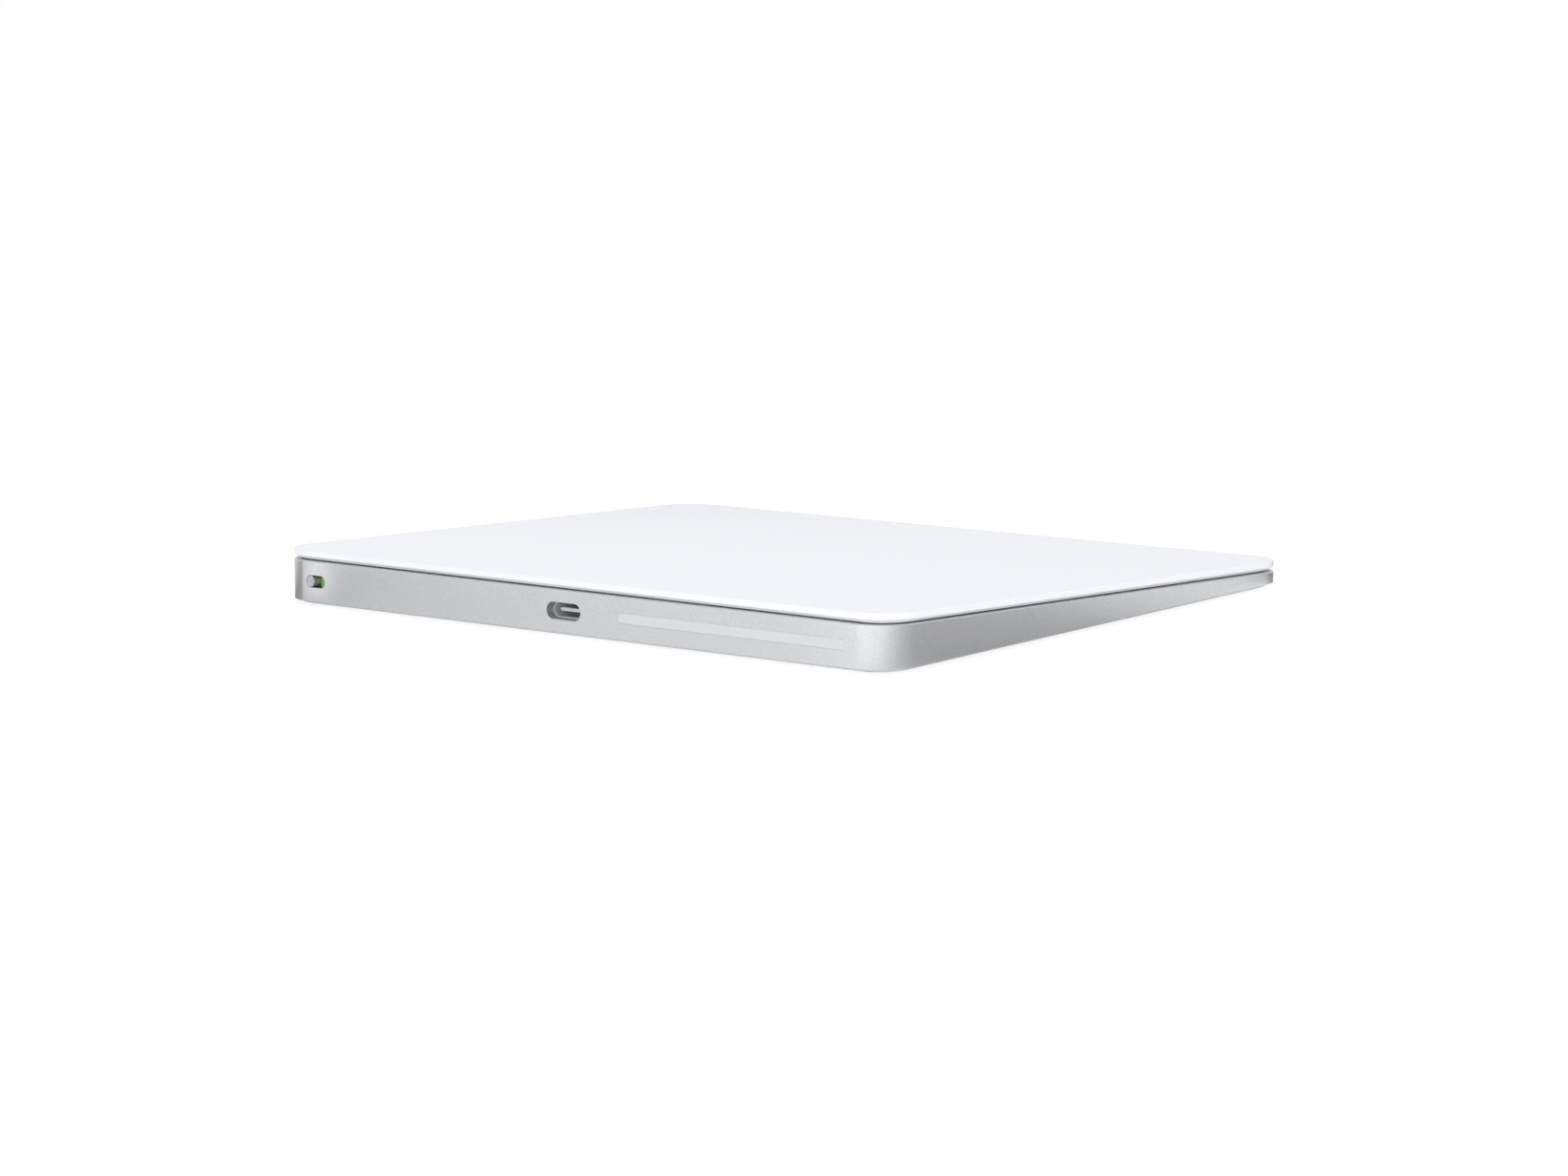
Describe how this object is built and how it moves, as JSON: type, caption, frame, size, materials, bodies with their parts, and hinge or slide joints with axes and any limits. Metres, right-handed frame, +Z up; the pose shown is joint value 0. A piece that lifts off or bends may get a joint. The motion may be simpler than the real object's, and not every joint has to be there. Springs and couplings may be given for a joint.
{
  "type": "trackpad",
  "caption": "Low wedge-shaped wireless trackpad: glass touch surface on a sprung haptic pad, in an aluminium tray with a power switch, charging port and antenna window.",
  "frame": {"origin": "on the desk under the middle of the trackpad, level with the bottoms of its feet", "axes": "+X to the user's right, +Y to the thick rear edge, +Z up"},
  "size_m": [0.16, 0.1148, 0.0109],
  "materials": {
    "glass": "white-backed, satin etched face",
    "trim_ring": "satin grey",
    "aluminium": "bead-blasted and anodised silver",
    "stiffener": "plain sheet",
    "cover": "fine matt moulding, pale",
    "window": "fine matt moulding, pale grey",
    "foot": "matt",
    "adhesive": "tape",
    "steel": "stamped sheet",
    "screws": "zinc plated",
    "iron": "nickel plated laminations",
    "copper": "enamelled copper",
    "contacts": "gold plated",
    "board": "solder mask",
    "chip": "moulded epoxy",
    "connector": "moulded",
    "ribbon": "polyimide film",
    "cell": "pouch foil",
    "dark_plastic": "moulded",
    "tongue": "moulded, light grey",
    "knob": "turned face",
    "indicator": "green",
    "gel": "soft gel"
  },
  "bodies": {
    "base": {"enclosure": "aluminium", "bottom_cover": "cover", "antenna_window": "window", "foot_front_left": "foot", "foot_front_right": "foot", "foot_rear_left": "foot", "foot_rear_right": "foot", "cover_adhesive": "adhesive", "battery_adhesive": "adhesive", "port_shell": "steel", "port_clamp": "steel", "shield_can": "steel", "actuator_base": "steel", "slide_switch": "steel", "flexure_front_left": "steel", "flexure_front_right": "steel", "flexure_rear_left": "steel", "flexure_rear_right": "steel", "port_screws": "screws", "board_screws": "screws", "flexure_screws": "screws", "actuator_screws": "screws", "switch_screw": "screws", "actuator_core": "iron", "actuator_coils": "copper", "antenna_element": "copper", "port_contacts": "contacts", "logic_board": "board", "battery_board": "board", "board_chips": "chip", "board_connectors": "connector", "battery_flex": "ribbon", "pad_flex": "ribbon", "strain_gauges": "ribbon", "battery_cell": "cell", "antenna_carrier": "dark_plastic", "switch_housing": "dark_plastic", "port_tongue": "tongue"},
    "power_switch": {"switch_knob": "knob", "switch_carriage": "dark_plastic", "switch_indicator": "indicator"},
    "pad_suspension": {"gel_pad_front_left": "gel", "gel_pad_front_right": "gel", "gel_pad_rear_left": "gel", "gel_pad_rear_right": "gel"},
    "touch_pad": {"glass_plate": "glass", "pad_frame": "trim_ring", "sensor_board": "board", "stiffener_plate": "stiffener", "touch_controller": "chip", "sensor_connector": "connector", "attraction_plate": "iron"}
  },
  "joints": [
    {"name": "switch_slide", "type": "slide", "parent": "base", "child": "power_switch", "axis": [-1, 0, 0], "range_m": [0, 0.003]},
    {"name": "pad_press", "type": "slide", "parent": "base", "child": "pad_suspension", "axis": [0, 0.0524, -0.9986], "range_m": [0, 0.00012], "stiffness_N_per_m": 20000, "springref_m": -0.00007, "deforming": ["flexure_front_left", "flexure_front_right", "flexure_rear_left", "flexure_rear_right", "strain_gauges", "pad_flex"]},
    {"name": "haptic_shift", "type": "slide", "parent": "pad_suspension", "child": "touch_pad", "axis": [0, 0.9986, 0.0524], "range_m": [-0.00015, 0.00015], "stiffness_N_per_m": 20000, "deforming": ["pad_flex"]}
  ]
}
